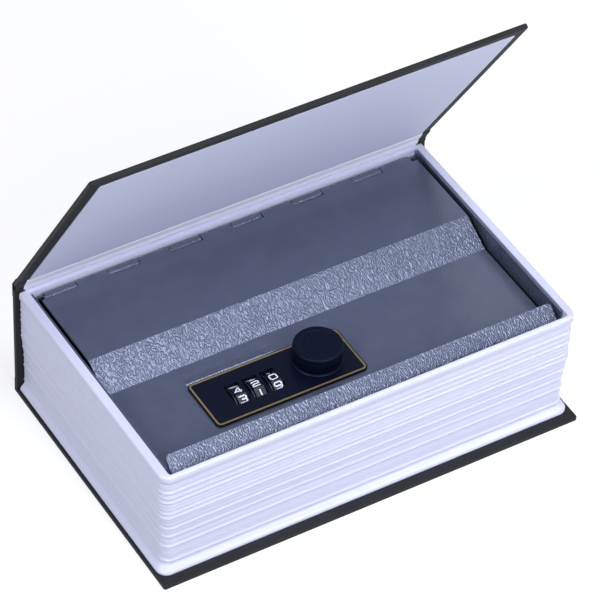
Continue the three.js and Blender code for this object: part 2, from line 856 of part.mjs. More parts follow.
function latch_nut() {
  const nut = post(knob_x, lock_axis_y, nut_bottom, cam_bottom, nut_radius, nut_sides);
  const hole = post(
    knob_x, lock_axis_y, nut_bottom - overrun, cam_bottom + overrun, spindle_radius + fit_gap,
  );
  return cut(nut, [hole]);
}

// Finishes
function finish(color, roughness, metalness) {
  return new THREE.MeshStandardMaterial({ color, roughness, metalness });
}

const cover_cloth = finish(0x2b2d30, 0.75, 0);
const liner_paper = finish(0xe4e6f4, 0.7, 0);
const page_plastic = finish(0xeceef8, 0.45, 0);
const hammered_paint = finish(0x4a5166, 0.4, 0.3);
const lock_black = finish(0x14161f, 0.35, 0.1);
const zinc = finish(0xa9acb0, 0.4, 0.9);
const dial_black = finish(0x1a1c22, 0.3, 0.2);
const knob_black = finish(0x16171d, 0.45, 0);

const part = new THREE.Group();
part.name = 'book_safe';

function add(name, geometry, material) {
  const mesh = new THREE.Mesh(geometry, material);
  mesh.name = name;
  part.add(mesh);
}

add('back_cover', back_cover(), cover_cloth);
add('spine_board', spine_board(), cover_cloth);
add('spine_liner', spine_liner(), liner_paper);
add('fold_cloth', fold_cloth(), cover_cloth);
add('front_cover', front_cover(), cover_cloth);
add('front_liner', front_liner(), liner_paper);
add('page_block', page_block(), page_plastic);
add('steel_box', steel_box(), hammered_paint);
box_screw_places().forEach((place, i) => add(`box_screw_${i + 1}`, box_screw(place), zinc));
add('hinge_pin', hinge_pin(), zinc);
add('lid_panel', lid_panel(), hammered_paint);
add('lock_plate', lock_plate(), lock_black);
add('lock_housing', lock_housing(), lock_black);
add('dial_axle', dial_axle(), zinc);
add('detent_spring', detent_spring(), zinc);
lock_screw_places().forEach((place, i) => add(`lock_screw_${i + 1}`, lock_screw(place), zinc));
dial_middles().forEach((x, i) => add(`dial_${i + 1}`, dial(x), dial_black));
add('knob_collar', knob_collar(), lock_black);
add('knob', knob(), knob_black);
add('spindle', spindle(), zinc);
add('latch_cam', latch_cam(), zinc);
add('latch_nut', latch_nut(), zinc);

export default part;
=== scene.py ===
import math

import bpy
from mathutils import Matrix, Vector


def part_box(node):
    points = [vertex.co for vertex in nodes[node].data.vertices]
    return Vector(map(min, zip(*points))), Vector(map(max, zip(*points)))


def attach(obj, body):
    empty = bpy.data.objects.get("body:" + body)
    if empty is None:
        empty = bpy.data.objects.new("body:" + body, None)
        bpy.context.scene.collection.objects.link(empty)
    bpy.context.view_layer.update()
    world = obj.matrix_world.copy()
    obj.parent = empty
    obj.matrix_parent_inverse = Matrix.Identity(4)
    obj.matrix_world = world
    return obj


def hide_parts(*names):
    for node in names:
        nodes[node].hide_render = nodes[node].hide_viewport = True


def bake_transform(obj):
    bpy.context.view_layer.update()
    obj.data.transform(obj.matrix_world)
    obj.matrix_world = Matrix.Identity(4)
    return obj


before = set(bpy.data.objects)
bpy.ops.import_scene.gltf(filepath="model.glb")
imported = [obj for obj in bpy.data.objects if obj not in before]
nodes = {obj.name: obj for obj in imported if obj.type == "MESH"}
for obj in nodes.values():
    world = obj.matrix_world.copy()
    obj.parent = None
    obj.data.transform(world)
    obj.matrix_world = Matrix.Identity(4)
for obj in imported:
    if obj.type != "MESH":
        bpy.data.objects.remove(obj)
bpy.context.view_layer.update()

# Camera: a long lens, above the fore edge and to the left, as the photograph was taken.
# Its place is in metres and its turn in radians, both fitted to the corners of the book.
camera_place = (-0.5543, -0.8733, 1.0475)
camera_turn = (0.80626, -0.03250, -0.53415)
camera_data = bpy.data.cameras.new("camera")
camera_data.sensor_width = 36
camera_data.lens = 231.6
camera_data.clip_start = 0.1
camera_data.clip_end = 20
camera = bpy.data.objects.new("camera", camera_data)
camera.location = camera_place
camera.rotation_euler = camera_turn
bpy.context.scene.collection.objects.link(camera)
bpy.context.scene.camera = camera


# Back cover: grey board wrapped in charcoal cloth paper, the lower half of the book case, with the
# tray glued on it.
def linear(code):
    """An sRGB hex colour as linear red, green, blue and alpha."""
    channels = [int(code[i:i + 2], 16) / 255 for i in (0, 2, 4)]
    return [c / 12.92 if c <= 0.04045 else ((c + 0.055) / 1.055) ** 2.4 for c in channels] + [1]


def start_material(name, colour, roughness):
    """A new material and its shader, with the colour and the roughness set."""
    material = bpy.data.materials.new(name)
    material.use_nodes = True
    shader = material.node_tree.nodes["Principled BSDF"]
    shader.inputs["Base Color"].default_value = linear(colour)
    shader.inputs["Roughness"].default_value = roughness
    return material, shader


def add_node(material, kind, settings, links):
    """Adds a node; settings go to its sockets or properties, links join its sockets to outputs."""
    tree = material.node_tree
    node = tree.nodes.new(kind)
    for name, value in settings.items():
        if isinstance(name, int) or name in node.inputs:
            node.inputs[name].default_value = value
        else:
            setattr(node, name, value)
    for name, output in links.items():
        tree.links.new(output, node.inputs[name])
    return node


def colour_ramp(material, factor, stops):
    """A ramp of hex colours or grey levels, laid over the output factor."""
    ramp = add_node(material, "ShaderNodeValToRGB", {}, {"Fac": factor})
    elements = ramp.color_ramp.elements
    while len(elements) < len(stops):
        elements.new(0.5)
    for element, (position, value) in zip(elements, stops):
        element.position = position
        element.color = linear(value) if isinstance(value, str) else (value, value, value, 1)
    return ramp.outputs["Color"]


def bump(material, shader, height, distance):
    """Height detail of that real distance, read by the shader."""
    node = add_node(material, "ShaderNodeBump", {"Distance": distance}, {"Height": height})
    material.node_tree.links.new(node.outputs["Normal"], shader.inputs["Normal"])


mm = 0.001
weld_reach = 0.002 * mm
flat_turn_limit = math.radians(0.4)
bevel_steps = 2
flat_weight = 100


def dress(name, material, edge=0.0, angle=32):
    """Gives a node its material, smooth shading and, where edge is set, softly broken edges.

    Edges that turn by less than the angle, in degrees, stay smooth."""
    piece = nodes[name]
    piece.data.materials.clear()
    piece.data.materials.append(material)
    for face in piece.data.polygons:
        face.use_smooth = True
    weld = piece.modifiers.new("weld", "WELD")
    weld.merge_threshold = weld_reach
    if edge:
        flats = piece.modifiers.new("flats", "DECIMATE")
        flats.decimate_type = "DISSOLVE"
        flats.angle_limit = flat_turn_limit
        rounding = piece.modifiers.new("rounding", "BEVEL")
        rounding.width = edge
        rounding.segments = bevel_steps
        rounding.limit_method = "ANGLE"
        rounding.angle_limit = math.radians(angle)
        rounding.harden_normals = True
        normals = piece.modifiers.new("normals", "WEIGHTED_NORMAL")
        normals.weight = flat_weight
    else:
        split = piece.modifiers.new("split", "EDGE_SPLIT")
        split.split_angle = math.radians(angle)
    return piece


# Cloth paper, embossed in the roll: a fine grain, small clouds in the grey and a dull, waxy finish.
cloth_paper, cloth_shader = start_material("cloth_paper_embossed", "1F2022", 0.66)
cloth_shader.inputs["Specular IOR Level"].default_value = 0.22
cloth_thread = 0.55 * mm
cloth_patch = 18 * mm
cloth_relief = 0.05 * mm
board_edge = 0.2 * mm
cloth_place = add_node(cloth_paper, "ShaderNodeTexCoord", {}, {}).outputs["Object"]
cloth_grain = add_node(
    cloth_paper, "ShaderNodeTexNoise",
    {"Scale": 1 / cloth_thread, "Detail": 3, "Roughness": 0.6}, {"Vector": cloth_place},
).outputs["Fac"]
cloth_cloud = add_node(
    cloth_paper, "ShaderNodeTexNoise",
    {"Scale": 1 / cloth_patch, "Detail": 2}, {"Vector": cloth_place},
).outputs["Fac"]
cloth_tone = colour_ramp(cloth_paper, cloth_cloud, [(0.3, "1D1E20"), (0.7, "232427")])
cloth_paper.node_tree.links.new(cloth_tone, cloth_shader.inputs["Base Color"])
bump(cloth_paper, cloth_shader, cloth_grain, cloth_relief)
dress("back_cover", cloth_paper, edge=board_edge)

# Page block: a tray injection-moulded in white plastic, its outside waved like the edges of pages.
# It is glued to the back cover and held by the box's screws.
# White plastic, moulded: satin, with fine lines along the ribs that read as single sheets.
page_plastic, page_shader = start_material("white_plastic_moulded", "D7D9EF", 0.45)
sheet_pitch = 1.3 * mm
sheet_squeeze = (0.01, 0.01, 1)
sheet_relief = 0.22 * mm
rib_angle = 40
page_place = add_node(page_plastic, "ShaderNodeTexCoord", {}, {}).outputs["Object"]
page_stack = add_node(
    page_plastic, "ShaderNodeMapping", {"Scale": sheet_squeeze}, {"Vector": page_place},
).outputs["Vector"]
page_lines = add_node(
    page_plastic, "ShaderNodeTexNoise",
    {"Scale": 1 / sheet_pitch, "Detail": 2, "Roughness": 0.55}, {"Vector": page_stack},
).outputs["Fac"]
bump(page_plastic, page_shader, page_lines, sheet_relief)
dress("page_block", page_plastic, angle=rib_angle)

# Steel box: folded sheet in slate-blue hammered enamel, screwed down through the tray.
# Hammered enamel, sprayed: it shrinks into worm-like ridges as it dries. It levels out on the flats,
# and on the slopes the ridges stay and break the light into short bright glints.
hammered, hammered_shader = start_material("hammered_enamel_slate", "60677A", 0.26)
hammered_shader.inputs["Metallic"].default_value = 0.5
hammer_patch = 2.2 * mm
hammer_stretch = (1.35, 0.7, 0.7)
hammer_bands = 27
hammer_depth = 0.055 * mm
hammer_flat_share = 0.25
hammer_cloud_size = 9 * mm
box_edge = 0.15 * mm
hammer_coords = add_node(hammered, "ShaderNodeTexCoord", {}, {})
hammer_place = hammer_coords.outputs["Object"]
hammer_drawn = add_node(
    hammered, "ShaderNodeMapping", {"Scale": hammer_stretch}, {"Vector": hammer_place},
).outputs["Vector"]
hammer_worms = add_node(
    hammered, "ShaderNodeTexNoise",
    {"Scale": 1 / hammer_patch, "Detail": 1, "Roughness": 0.4}, {"Vector": hammer_drawn},
).outputs["Fac"]
hammer_phase = add_node(
    hammered, "ShaderNodeMath", {"operation": "MULTIPLY", 1: hammer_bands}, {0: hammer_worms},
).outputs["Value"]
hammer_ridges = add_node(
    hammered, "ShaderNodeMath", {"operation": "SINE"}, {0: hammer_phase},
).outputs["Value"]
hammer_cloud = add_node(
    hammered, "ShaderNodeTexNoise",
    {"Scale": 1 / hammer_cloud_size, "Detail": 2}, {"Vector": hammer_place},
).outputs["Fac"]
hammer_tone = colour_ramp(hammered, hammer_cloud, [(0.3, "5D6477"), (0.7, "62697C")])
hammered.node_tree.links.new(hammer_tone, hammered_shader.inputs["Base Color"])
# a face is a slope where its normal's upward part is below the first value, a flat above the second
slope_up = 0.91
flat_up = 0.97
hammer_up = add_node(
    hammered, "ShaderNodeSeparateXYZ", {}, {"Vector": hammer_coords.outputs["Normal"]},
).outputs["Z"]
hammer_level = add_node(
    hammered, "ShaderNodeMapRange",
    {"From Min": slope_up, "From Max": flat_up, "To Min": 1, "To Max": hammer_flat_share},
    {"Value": hammer_up},
).outputs["Result"]
# the sheet is pressed down a little along the rear edge of the lock plate
plate_low, plate_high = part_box("lock_plate")
press_gap = 0.6 * mm
press_start = plate_high.y + press_gap
press_depth = 0.5 * mm
press_run = 3.6 * mm
press_share = 0.66
press_place = add_node(hammered, "ShaderNodeSeparateXYZ", {}, {"Vector": hammer_place})
press_across = add_node(
    hammered, "ShaderNodeMapRange", {"From Min": press_start, "From Max": press_start + press_run},
    {"Value": press_place.outputs["Y"]},
).outputs["Result"]
press_along = add_node(
    hammered, "ShaderNodeMapRange",
    {"From Min": plate_low.x, "From Max": plate_low.x + press_share * (plate_high.x - plate_low.x)},
    {"Value": press_place.outputs["X"]},
).outputs["Result"]
press_edge = add_node(
    hammered, "ShaderNodeMath", {"operation": "MULTIPLY"},
    {0: colour_ramp(hammered, press_across, [(0, 0.0), (0.25, 1.0), (1, 0.0)]),
     1: colour_ramp(hammered, press_along, [(0, 0.0), (0.03, 1.0), (0.8, 1.0), (1, 0.0)])},
).outputs["Value"]
# the rolled knuckles keep their ridges as the slopes do
knuckle_wall = 1.1 * mm
knuckle_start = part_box("hinge_pin")[0].y - knuckle_wall
knuckle_blur = 0.3 * mm
knuckle_zone = add_node(
    hammered, "ShaderNodeMapRange",
    {"From Min": knuckle_start, "From Max": knuckle_start + knuckle_blur},
    {"Value": press_place.outputs["Y"]},
).outputs["Result"]
hammer_kept = add_node(
    hammered, "ShaderNodeMath", {"operation": "MAXIMUM"}, {0: press_edge, 1: knuckle_zone},
).outputs["Value"]
hammer_rough = add_node(
    hammered, "ShaderNodeMath", {"operation": "MAXIMUM"}, {0: hammer_level, 1: hammer_kept},
).outputs["Value"]
hammer_relief = add_node(
    hammered, "ShaderNodeMath", {"operation": "MULTIPLY"}, {0: hammer_ridges, 1: hammer_rough},
).outputs["Value"]
hammer_height = add_node(
    hammered, "ShaderNodeMath", {"operation": "MULTIPLY_ADD", 1: press_depth / hammer_depth},
    {0: press_edge, 2: hammer_relief},
).outputs["Value"]
bump(hammered, hammered_shader, hammer_height, hammer_depth)
dress("steel_box", hammered, edge=box_edge)

# Screws of the box and of the lock, and the nut of the latch: cold-headed steel. The screws go down
# through the box into the back cover, and up through the housing into the lid.
# Steel, zinc-plated: bright, with a spotty sheen where the plating is duller.
zinc, zinc_shader = start_material("zinc_plated_steel", "B9BBC0", 0.34)
zinc_shader.inputs["Metallic"].default_value = 1
zinc_spot = 0.7 * mm
zinc_rough_range = (0.25, 0.45)
zinc_place = add_node(zinc, "ShaderNodeTexCoord", {}, {}).outputs["Object"]
zinc_spots = add_node(
    zinc, "ShaderNodeTexNoise", {"Scale": 1 / zinc_spot, "Detail": 3}, {"Vector": zinc_place},
).outputs["Fac"]
zinc_rough = add_node(
    zinc, "ShaderNodeMapRange",
    {"To Min": zinc_rough_range[0], "To Max": zinc_rough_range[1]}, {"Value": zinc_spots},
).outputs["Result"]
zinc.node_tree.links.new(zinc_rough, zinc_shader.inputs["Roughness"])
screw_edge = 0.12 * mm
small_screw_edge = 0.08 * mm
for number in (1, 2, 3, 4):
    dress(f"box_screw_{number}", zinc, edge=screw_edge)
for number in (1, 2):
    dress(f"lock_screw_{number}", zinc, edge=small_screw_edge)
dress("latch_nut", zinc, edge=screw_edge)

# Hinge pin, axle of the dials, spindle, tongue and spring. The pin runs through the knuckles, the
# axle and the spring sit in the housing, and the nut holds the tongue on the spindle.
# Steel, bright drawn: a clean shine with fine draw lines along X.
bright_steel, bright_shader = start_material("bright_drawn_steel", "C4C6CA", 0.28)
bright_shader.inputs["Metallic"].default_value = 1
draw_line = 0.3 * mm
draw_stretch = (0.05, 1, 1)
draw_relief = 0.01 * mm
bright_edge = 0.08 * mm
bright_place = add_node(bright_steel, "ShaderNodeTexCoord", {}, {}).outputs["Object"]
bright_draw = add_node(
    bright_steel, "ShaderNodeMapping", {"Scale": draw_stretch}, {"Vector": bright_place},
).outputs["Vector"]
bright_lines = add_node(
    bright_steel, "ShaderNodeTexNoise",
    {"Scale": 1 / draw_line, "Detail": 2}, {"Vector": bright_draw},
).outputs["Fac"]
bump(bright_steel, bright_shader, bright_lines, draw_relief)
for name in ("hinge_pin", "dial_axle", "spindle", "latch_cam", "detent_spring"):
    dress(name, bright_steel, edge=bright_edge)

# Lid: one bent sheet in the same hammered enamel, rolled into knuckles at the rear and folded back
# into a lip at the front. It hangs on the pin.
bend_edge = 0.25 * mm
bend_angle = 20
dress("lid_panel", hammered, edge=bend_edge, angle=bend_angle)

# Lock housing: the body of the lock, screwed to the underside of the lid.
# Glass-filled nylon, moulded: grey-black and dull, with a fine grit from the fibres.
nylon, nylon_shader = start_material("black_nylon_moulded", "1C1D20", 0.55)
nylon_grit = 0.35 * mm
nylon_relief = 0.02 * mm
housing_edge = 0.2 * mm
nylon_place = add_node(nylon, "ShaderNodeTexCoord", {}, {}).outputs["Object"]
nylon_spark = add_node(
    nylon, "ShaderNodeTexNoise", {"Scale": 1 / nylon_grit, "Detail": 2}, {"Vector": nylon_place},
).outputs["Fac"]
bump(nylon, nylon_shader, nylon_spark, nylon_relief)
dress("lock_housing", nylon, edge=housing_edge)

# Lock plate: punched steel, fixed flat on the lid over the lock, with a fine gold line near its edge.
# Satin black paint, baked: nearly even, with a weak orange peel that softens what it mirrors.
plate_black, plate_shader = start_material("satin_black_paint", "070C1E", 0.36)
plate_shader.inputs["Specular IOR Level"].default_value = 0.14
peel_size = 0.8 * mm
peel_relief = 0.008 * mm
plate_edge = 0.12 * mm
plate_place = add_node(plate_black, "ShaderNodeTexCoord", {}, {}).outputs["Object"]
plate_peel = add_node(
    plate_black, "ShaderNodeTexNoise", {"Scale": 1 / peel_size, "Detail": 2}, {"Vector": plate_place},
).outputs["Fac"]
bump(plate_black, plate_shader, plate_peel, peel_relief)
dress("lock_plate", plate_black, edge=plate_edge)

# Gold bronze ink, screen-printed: a matt gold with fine flakes.
gold_ink, gold_shader = start_material("gold_bronze_ink", "857748", 0.46)
gold_shader.inputs["Metallic"].default_value = 0.35
gold_flake = 0.25 * mm
gold_place = add_node(gold_ink, "ShaderNodeTexCoord", {}, {}).outputs["Object"]
gold_flakes = add_node(
    gold_ink, "ShaderNodeTexNoise", {"Scale": 1 / gold_flake, "Detail": 2}, {"Vector": gold_place},
).outputs["Fac"]
gold_tone = colour_ramp(gold_ink, gold_flakes, [(0.3, "776A40"), (0.7, "948555")])
gold_ink.node_tree.links.new(gold_tone, gold_shader.inputs["Base Color"])


def rounded_ring(low, high, inset, radius, steps=8):
    """Corners of a rounded rectangle, counter-clockwise, inset from low to high."""
    x0, y0 = low.x + inset, low.y + inset
    x1, y1 = high.x - inset, high.y - inset
    points = []
    for cx, cy, turn in (
        (x1 - radius, y0 + radius, -90), (x1 - radius, y1 - radius, 0),
        (x0 + radius, y1 - radius, 90), (x0 + radius, y0 + radius, 180),
    ):
        for i in range(steps + 1):
            a = math.radians(turn + 90 * i / steps)
            points.append((cx + radius * math.cos(a), cy + radius * math.sin(a)))
    return points


def new_piece(name, points, faces, material, smooth=False):
    """A mesh object from its points and faces."""
    mesh = bpy.data.meshes.new(name)
    mesh.from_pydata(points, [], faces)
    mesh.update()
    for face in mesh.polygons:
        face.use_smooth = smooth
    mesh.materials.append(material)
    piece = bpy.data.objects.new(name, mesh)
    bpy.context.scene.collection.objects.link(piece)
    return piece


gold_inset = 0.45 * mm
gold_width = 0.7 * mm
gold_film = 0.03 * mm
plate_radius = 2.2 * mm
gold_outer = rounded_ring(plate_low, plate_high, gold_inset, plate_radius - gold_inset)
gold_inner = rounded_ring(
    plate_low, plate_high, gold_inset + gold_width, plate_radius - gold_inset - gold_width,
)
gold_count = len(gold_outer)
gold_points = []
for ring, height in (
    (gold_outer, -gold_film), (gold_outer, gold_film),
    (gold_inner, gold_film), (gold_inner, -gold_film),
):
    gold_points += [(x, y, plate_high.z + height) for x, y in ring]
gold_faces = []
for side in range(4):
    for i in range(gold_count):
        k = (i + 1) % gold_count
        a, b = side * gold_count, (side + 1) % 4 * gold_count
        gold_faces.append((a + i, a + k, b + k, b + i))
gold_line = new_piece("plate_gold_line", gold_points, gold_faces, gold_ink)
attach(gold_line, "lid")

# Dials: three drums on one axle, each with ten flats and a thin finger disc at its left.
# The digits stand one to a flat, and count down as the dial turns to you.
# Acetal, moulded: glossy black, hardly wavy, so that a flat mirrors the light as one.
acetal, acetal_shader = start_material("black_acetal_moulded", "0A0E1E", 0.24)
acetal_shader.inputs["Specular IOR Level"].default_value = 0.3
acetal_ripple = 1.5 * mm
acetal_relief = 0.015 * mm
acetal_place = add_node(acetal, "ShaderNodeTexCoord", {}, {}).outputs["Object"]
acetal_wave = add_node(
    acetal, "ShaderNodeTexNoise",
    {"Scale": 1 / acetal_ripple, "Detail": 2}, {"Vector": acetal_place},
).outputs["Fac"]
bump(acetal, acetal_shader, acetal_wave, acetal_relief)
# Filling paint, wiped into the digits: white, a little greyer where it is worn.
digit_paint, digit_shader = start_material("white_filling_paint", "EDEFFA", 0.5)
wear_size = 0.3 * mm
digit_place = add_node(digit_paint, "ShaderNodeTexCoord", {}, {}).outputs["Object"]
digit_wear = add_node(
    digit_paint, "ShaderNodeTexNoise", {"Scale": 1 / wear_size, "Detail": 2}, {"Vector": digit_place},
).outputs["Fac"]
digit_tone = colour_ramp(digit_paint, digit_wear, [(0.3, "D5D8EA"), (0.6, "F2F3FC")])
digit_paint.node_tree.links.new(digit_tone, digit_shader.inputs["Base Color"])

digit_width = 3.3 * mm
digit_height = 3.0 * mm
digit_stroke = 0.52 * mm
digit_film = 0.05 * mm
flats = 10
flat_turn = 2 * math.pi / flats
first_flat = math.radians(30.5)
drum_radius = 6.9 * mm
drum_width = 4.3 * mm
flat_distance = drum_radius * math.cos(flat_turn / 2)
dial_edge = 0.1 * mm
dial_angle = 20
mitre_limit = 0.45
# each stroke: its points in shares of the digit's width and height, and whether it is closed
digit_ring = [(.15, 0), (.85, 0), (1, .16), (1, .84), (.85, 1), (.15, 1), (0, .84), (0, .16)]
digit_strokes = {
    0: [(digit_ring, True)],
    1: [([(.5, 0), (.5, 1)], False)],
    2: [([
        (0, .8), (.15, 1), (.85, 1), (1, .84), (1, .62),
        (.85, .5), (.15, .46), (0, .3), (0, 0), (1, 0),
    ], False)],
    3: [
        ([(0, 1), (.85, 1), (1, .86), (1, .64), (.82, .5), (.3, .5)], False),
        ([(.82, .5), (1, .36), (1, .14), (.85, 0), (0, 0)], False),
    ],
    4: [([(.78, 0), (.78, 1), (.62, 1), (0, .34), (1, .34)], False)],
    5: [([(1, 1), (.04, 1), (.04, .58), (.85, .58), (1, .44), (1, .14), (.85, 0), (0, 0)], False)],
    6: [([
        (.95, 1), (.15, 1), (0, .84), (0, .16), (.15, 0),
        (.85, 0), (1, .16), (1, .42), (.85, .56), (0, .56),
    ], False)],
    7: [([(0, 1), (1, 1), (.4, 0)], False)],
    8: [(digit_ring, True), ([(0, .52), (1, .52)], False)],
    9: [([
        (.05, 0), (.7, 0), (1, .3), (1, .84), (.85, 1),
        (.15, 1), (0, .84), (0, .58), (.15, .44), (1, .44),
    ], False)],
}


def stroke_sides(line, closed, width):
    """Left and right edge points of a mitred stroke of that width along a line."""
    count = len(line)
    left, right = [], []
    for i, point in enumerate(line):
        before = line[i - 1] if i or closed else None
        after = line[(i + 1) % count] if i < count - 1 or closed else None
        ways = []
        if before is not None:
            ways.append((point - before).normalized())
        if after is not None:
            ways.append((after - point).normalized())
        way = sum(ways, Vector((0, 0)))
        way.normalize()
        reach = width / 2 / max(mitre_limit, way.dot(ways[0]))
        side = Vector((-way.y, way.x)) * reach
        left.append(point + side)
        right.append(point - side)
    return left, right


def digit_mesh(digit, centre, right_way, up_way, out_way, points, faces):
    """Adds one digit's raised strokes at a flat of the dial."""
    across, upright = digit_width - digit_stroke, digit_height - digit_stroke
    for shape, closed in digit_strokes[digit]:
        line = [Vector(((u - 0.5) * across, (v - 0.5) * upright)) for u, v in shape]
        left, right = stroke_sides(line, closed, digit_stroke)
        start = len(points)
        for edge_points, height in (
            (left, -digit_film), (left, digit_film), (right, digit_film), (right, -digit_film),
        ):
            for p in edge_points:
                points.append(centre + right_way * p.x + up_way * p.y + out_way * height)
        count = len(line)
        spans = count if closed else count - 1
        for side in range(4):
            a, b = start + side * count, start + (side + 1) % 4 * count
            for i in range(spans):
                k = (i + 1) % count
                faces.append((a + i, b + i, b + k, a + k))
        if not closed:
            faces.append(tuple(start + side * count for side in range(4)))
            faces.append(tuple(start + side * count + count - 1 for side in (3, 2, 1, 0)))


for name, body, front_digit in (
    ("dial_1", "dial_left", 3), ("dial_2", "dial_middle", 1), ("dial_3", "dial_right", 9),
):
    dress(name, acetal, edge=dial_edge, angle=dial_angle)
    low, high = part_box(name)
    middle = Vector((high.x - drum_width / 2, (low.y + high.y) / 2, (low.z + high.z) / 2))
    points, faces = [], []
    for step in range(flats):
        turn = first_flat + step * flat_turn
        out_way = Vector((0, -math.sin(turn), math.cos(turn)))
        up_way = Vector((0, math.cos(turn), math.sin(turn)))
        digit_mesh(
            (front_digit - step) % flats, middle + out_way * flat_distance,
            Vector((1, 0, 0)), up_way, out_way, points, faces,
        )
    digits = new_piece(f"{name}_digits", points, faces, digit_paint)
    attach(digits, body)

# Knob and collar: a moulded cap pushed on the spindle, over a ring that sits on the plate.
# Phenolic plastic, moulded: black with a bluish sheen, with faint rings left on the top.
knob_black, knob_shader = start_material("black_phenolic_moulded", "060A1B", 0.44)
knob_shader.inputs["Specular IOR Level"].default_value = 0.15
knob_shader.inputs["Specular Tint"].default_value = linear("C8D4FF")
ring_width = 5.5 * mm
ring_relief = 0.03 * mm
knob_edge = 0.1 * mm
knob_angle = 30
collar_edge = 0.12 * mm
knob_low, knob_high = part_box("knob")
knob_place = add_node(knob_black, "ShaderNodeTexCoord", {}, {}).outputs["Object"]
knob_top = ((knob_low.x + knob_high.x) / 2, (knob_low.y + knob_high.y) / 2, knob_high.z)
knob_shift = add_node(
    knob_black, "ShaderNodeVectorMath", {"operation": "SUBTRACT", 1: knob_top}, {0: knob_place},
).outputs["Vector"]
knob_rings = add_node(
    knob_black, "ShaderNodeTexWave",
    {"wave_type": "RINGS", "rings_direction": "Z", "Scale": 1 / ring_width,
     "Distortion": 1.5, "Detail": 1},
    {"Vector": knob_shift},
).outputs["Fac"]
bump(knob_black, knob_shader, knob_rings, ring_relief)
dress("knob", knob_black, edge=knob_edge, angle=knob_angle)
dress("knob_collar", knob_black, edge=collar_edge)

# Spine: the same wrapped board, standing on the back cover, lined with paper inside.
# Liner paper, uncoated and pasted down: white and matt, with a faint tooth of fibres.
liner_paper, liner_shader = start_material("white_liner_paper", "D3D7EE", 0.6)
liner_fibre = 0.6 * mm
liner_relief = 0.02 * mm
spine_edge = 0.3 * mm
liner_edge = 0.08 * mm
liner_place = add_node(liner_paper, "ShaderNodeTexCoord", {}, {}).outputs["Object"]
liner_fibres = add_node(
    liner_paper, "ShaderNodeTexNoise",
    {"Scale": 1 / liner_fibre, "Detail": 3}, {"Vector": liner_place},
).outputs["Fac"]
bump(liner_paper, liner_shader, liner_fibres, liner_relief)
dress("spine_board", cloth_paper, edge=spine_edge)
dress("spine_liner", liner_paper, edge=liner_edge)

# Front cover: the free board of the case, wrapped in the same cloth paper and lined inside with the
# white paper, short of its edges.
dress("front_cover", cloth_paper, edge=board_edge)
dress("front_liner", liner_paper, edge=liner_edge)


# Joints of the case: the cloth paper runs on over both edges of the spine, glued to the boards and
# free to fold between them, and a strip of the white paper lines the fold inside.
def strip_piece(name, half_length, outer, inner, material, corner=0.0):
    """A thin strip along X between two profiles of (y, z) points, closed at its ends."""
    loop = outer + inner[::-1]
    count = len(loop)
    spots = [-half_length, -half_length + corner, half_length - corner, half_length]
    points = [(x, y, z) for x in spots for y, z in loop]
    faces = []
    for start in range(0, 3 * count, count):
        for i in range(count):
            j = (i + 1) % count
            faces.append((start + i, start + j, start + count + j, start + count + i))
    spans = len(outer) - 1
    for k, order in ((0, 1), (3, -1)):
        for i in range(spans):
            quad = [k * count + j for j in (i, count - 1 - i, count - 2 - i, i + 1)]
            faces.append(tuple(quad[::order]))
    return new_piece(name, points, faces, material, smooth=True)


def by_cover(along, off):
    """The (y, z) of a point that far along the open cover and that far off the fold's axis."""
    return (
        fold_y - along * math.cos(cover_open) + off * math.sin(cover_open),
        fold_z + along * math.sin(cover_open) + off * math.cos(cover_open),
    )


def round_fold(radius, steps=4):
    """Points round the axis of the fold, from the spine's outer face to the cover's."""
    turn = math.pi / 2 - cover_open
    return [
        (fold_y + radius * math.cos(turn * i / steps), fold_z + radius * math.sin(turn * i / steps))
        for i in range(steps + 1)
    ]


cover_open = math.radians(58.5)
fold_y = 58.05 * mm
fold_z = 56.05 * mm
face_off = 0.45 * mm
cloth_thickness = 0.3 * mm
cloth_proud = 0.06 * mm
wrap_spine = 6 * mm
wrap_cover = 6 * mm
wrap_step = 1.2 * mm
fold_end_inset = 0.02 * mm
half_book = 90 * mm
proud = face_off + cloth_proud
deep = proud - cloth_thickness
wrap_drops = [wrap_spine, 3 * wrap_step, wrap_step, wrap_step / 2]
wrap_steps = [wrap_step, 2 * wrap_step, 3 * wrap_step, wrap_cover]
wrap_outer = (
    [(fold_y + proud, fold_z - drop) for drop in wrap_drops]
    + round_fold(proud) + [by_cover(along, proud) for along in wrap_steps]
)
wrap_inner = (
    [(fold_y + deep, fold_z - drop) for drop in wrap_drops]
    + round_fold(deep) + [by_cover(along, deep) for along in wrap_steps]
)
fold_wrap = strip_piece("fold_wrap", half_book, wrap_outer, wrap_inner, cloth_paper, fold_end_inset)
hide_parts("fold_cloth")
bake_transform(fold_wrap)

# Inside of the fold: the turned-in cloth from end to end, and a strip of the liner paper over it.
# Liner paper on the fold, pasted down: its colour is painted whiter than the liner's as painted light
# for the bright band along the fold, and it is a little smoother.
fold_paper_painted_lit, fold_paper_painted_lit_shader = start_material("fold_liner_paper_painted_lit", "EAEBF7", 0.45)
hinge_fibre = 0.5 * mm
hinge_relief = 0.015 * mm
hinge_place = add_node(fold_paper_painted_lit, "ShaderNodeTexCoord", {}, {}).outputs["Object"]
hinge_fibres = add_node(
    fold_paper_painted_lit, "ShaderNodeTexNoise",
    {"Scale": 1 / hinge_fibre, "Detail": 3}, {"Vector": hinge_place},
).outputs["Fac"]
bump(fold_paper_painted_lit, fold_paper_painted_lit_shader, hinge_fibres, hinge_relief)
half_lining = 86.3 * mm
lining_thickness = 0.16 * mm
lining_rise_share = 0.4
lining_points = [
    (y * mm, z * mm) for y, z in (
        (56.2, 53.1), (56.13, 54.0), (55.86, 55.0), (55.37, 56.2),
        (54.76, 57.3), (54.02, 58.6), (53.15, 60.6),
    )
]


def behind(line, depth):
    """The same profile, set back towards the spine and the cover."""
    return [(y + depth, z + depth * lining_rise_share) for y, z in line]


